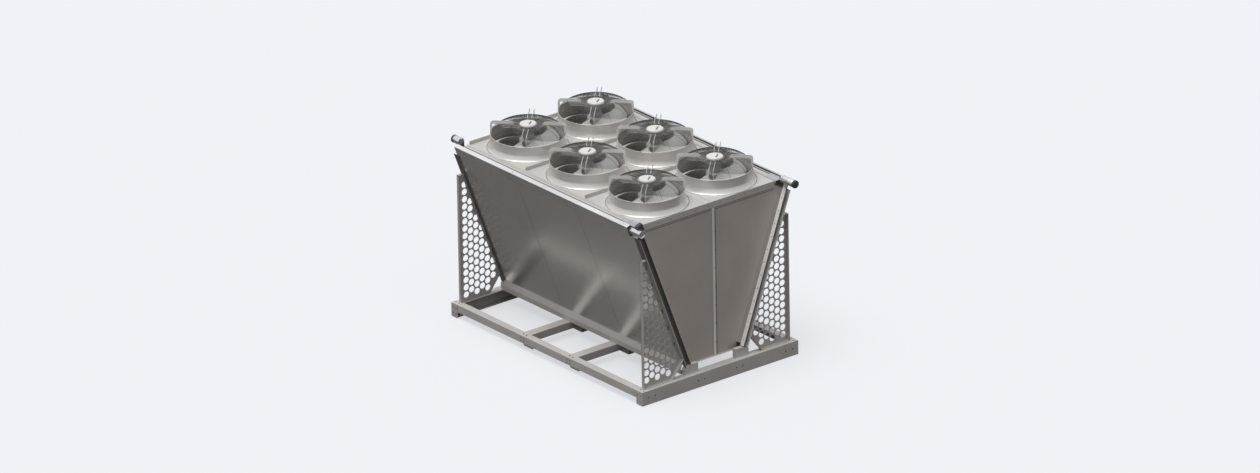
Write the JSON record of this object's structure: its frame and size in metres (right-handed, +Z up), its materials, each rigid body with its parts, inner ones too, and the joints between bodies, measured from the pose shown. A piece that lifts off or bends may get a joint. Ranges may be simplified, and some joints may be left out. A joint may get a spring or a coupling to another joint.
{
  "type": "dry cooler",
  "caption": "Air-cooled heat exchanger with two leaning coils in a V, fans along the top deck, perforated end gussets and a skid base.",
  "frame": {"origin": "middle of the skid base, on the plane it stands on", "axes": "+X along the coils towards the end shown nearer in the picture, +Y across the base towards the right-hand coil, +Z up"},
  "size_m": [3.5726, 2.26, 2.401],
  "materials": {
    "coil_fins": "close-pitched coated fins, satin",
    "base_steel": "powder-coated folded sheet, satin",
    "casing_sheet": "powder-coated folded sheet, satin",
    "end_wall_sheet": "powder-coated flat sheet, satin",
    "channel_sheet": "powder-coated folded sheet, satin",
    "black_moulding": "moulded, fine grain",
    "pipe_metal": "drawn tube, clean",
    "collar_sheet": "pressed and coated sheet, satin",
    "guard_steel": "coated flat bar",
    "motor_housing": "coated casting, satin",
    "fan_blade": "moulded, fine grain",
    "gusset_sheet": "perforated folded sheet, satin"
  },
  "bodies": {
    "cooler_frame": {"end_sill_near": "base_steel", "end_sill_far": "base_steel", "outer_rail_left": "base_steel", "outer_rail_right": "base_steel", "cross_member_near": "base_steel", "cross_member_far": "base_steel", "skid_feet_near": "base_steel", "skid_feet_far": "base_steel", "inner_rail_left": "base_steel", "inner_rail_right": "base_steel", "foot_brackets_near": "base_steel", "foot_brackets_far": "base_steel", "coil_left": "coil_fins", "coil_right": "coil_fins", "end_channels_near": "channel_sheet", "end_channels_far": "channel_sheet", "header_cover_left": "casing_sheet", "header_cover_right": "casing_sheet", "fan_deck_near": "casing_sheet", "fan_deck_middle": "casing_sheet", "fan_deck_far": "casing_sheet", "deck_edge_left": "casing_sheet", "deck_edge_right": "casing_sheet", "floor_tray": "casing_sheet", "end_wall_strips": "casing_sheet", "end_wall_near": "end_wall_sheet", "end_wall_far": "end_wall_sheet", "pipes_left": "pipe_metal", "pipes_right": "pipe_metal", "corner_blocks_near": "black_moulding", "corner_blocks_far": "black_moulding", "fan_collars": "collar_sheet", "fan_guards": "guard_steel", "fan_motors": "motor_housing", "gusset_near_right": "gusset_sheet", "gusset_near_left": "gusset_sheet", "gusset_far_right": "gusset_sheet", "gusset_far_left": "gusset_sheet"},
    "rotor_near_left": {"fan_rotor_near_left": "fan_blade"},
    "rotor_near_right": {"fan_rotor_near_right": "fan_blade"},
    "rotor_middle_left": {"fan_rotor_middle_left": "fan_blade"},
    "rotor_middle_right": {"fan_rotor_middle_right": "fan_blade"},
    "rotor_far_left": {"fan_rotor_far_left": "fan_blade"},
    "rotor_far_right": {"fan_rotor_far_right": "fan_blade"}
  },
  "joints": [
    {"name": "spin_near_left", "type": "hinge", "parent": "cooler_frame", "child": "rotor_near_left", "pos_m": [1.06, -0.49, 2.16], "axis": [0, 0, 1], "continuous": true},
    {"name": "spin_near_right", "type": "hinge", "parent": "cooler_frame", "child": "rotor_near_right", "pos_m": [1.06, 0.49, 2.16], "axis": [0, 0, 1], "continuous": true},
    {"name": "spin_middle_left", "type": "hinge", "parent": "cooler_frame", "child": "rotor_middle_left", "pos_m": [0, -0.49, 2.16], "axis": [0, 0, 1], "continuous": true},
    {"name": "spin_middle_right", "type": "hinge", "parent": "cooler_frame", "child": "rotor_middle_right", "pos_m": [0, 0.49, 2.16], "axis": [0, 0, 1], "continuous": true},
    {"name": "spin_far_left", "type": "hinge", "parent": "cooler_frame", "child": "rotor_far_left", "pos_m": [-1.06, -0.49, 2.16], "axis": [0, 0, 1], "continuous": true},
    {"name": "spin_far_right", "type": "hinge", "parent": "cooler_frame", "child": "rotor_far_right", "pos_m": [-1.06, 0.49, 2.16], "axis": [0, 0, 1], "continuous": true}
  ]
}
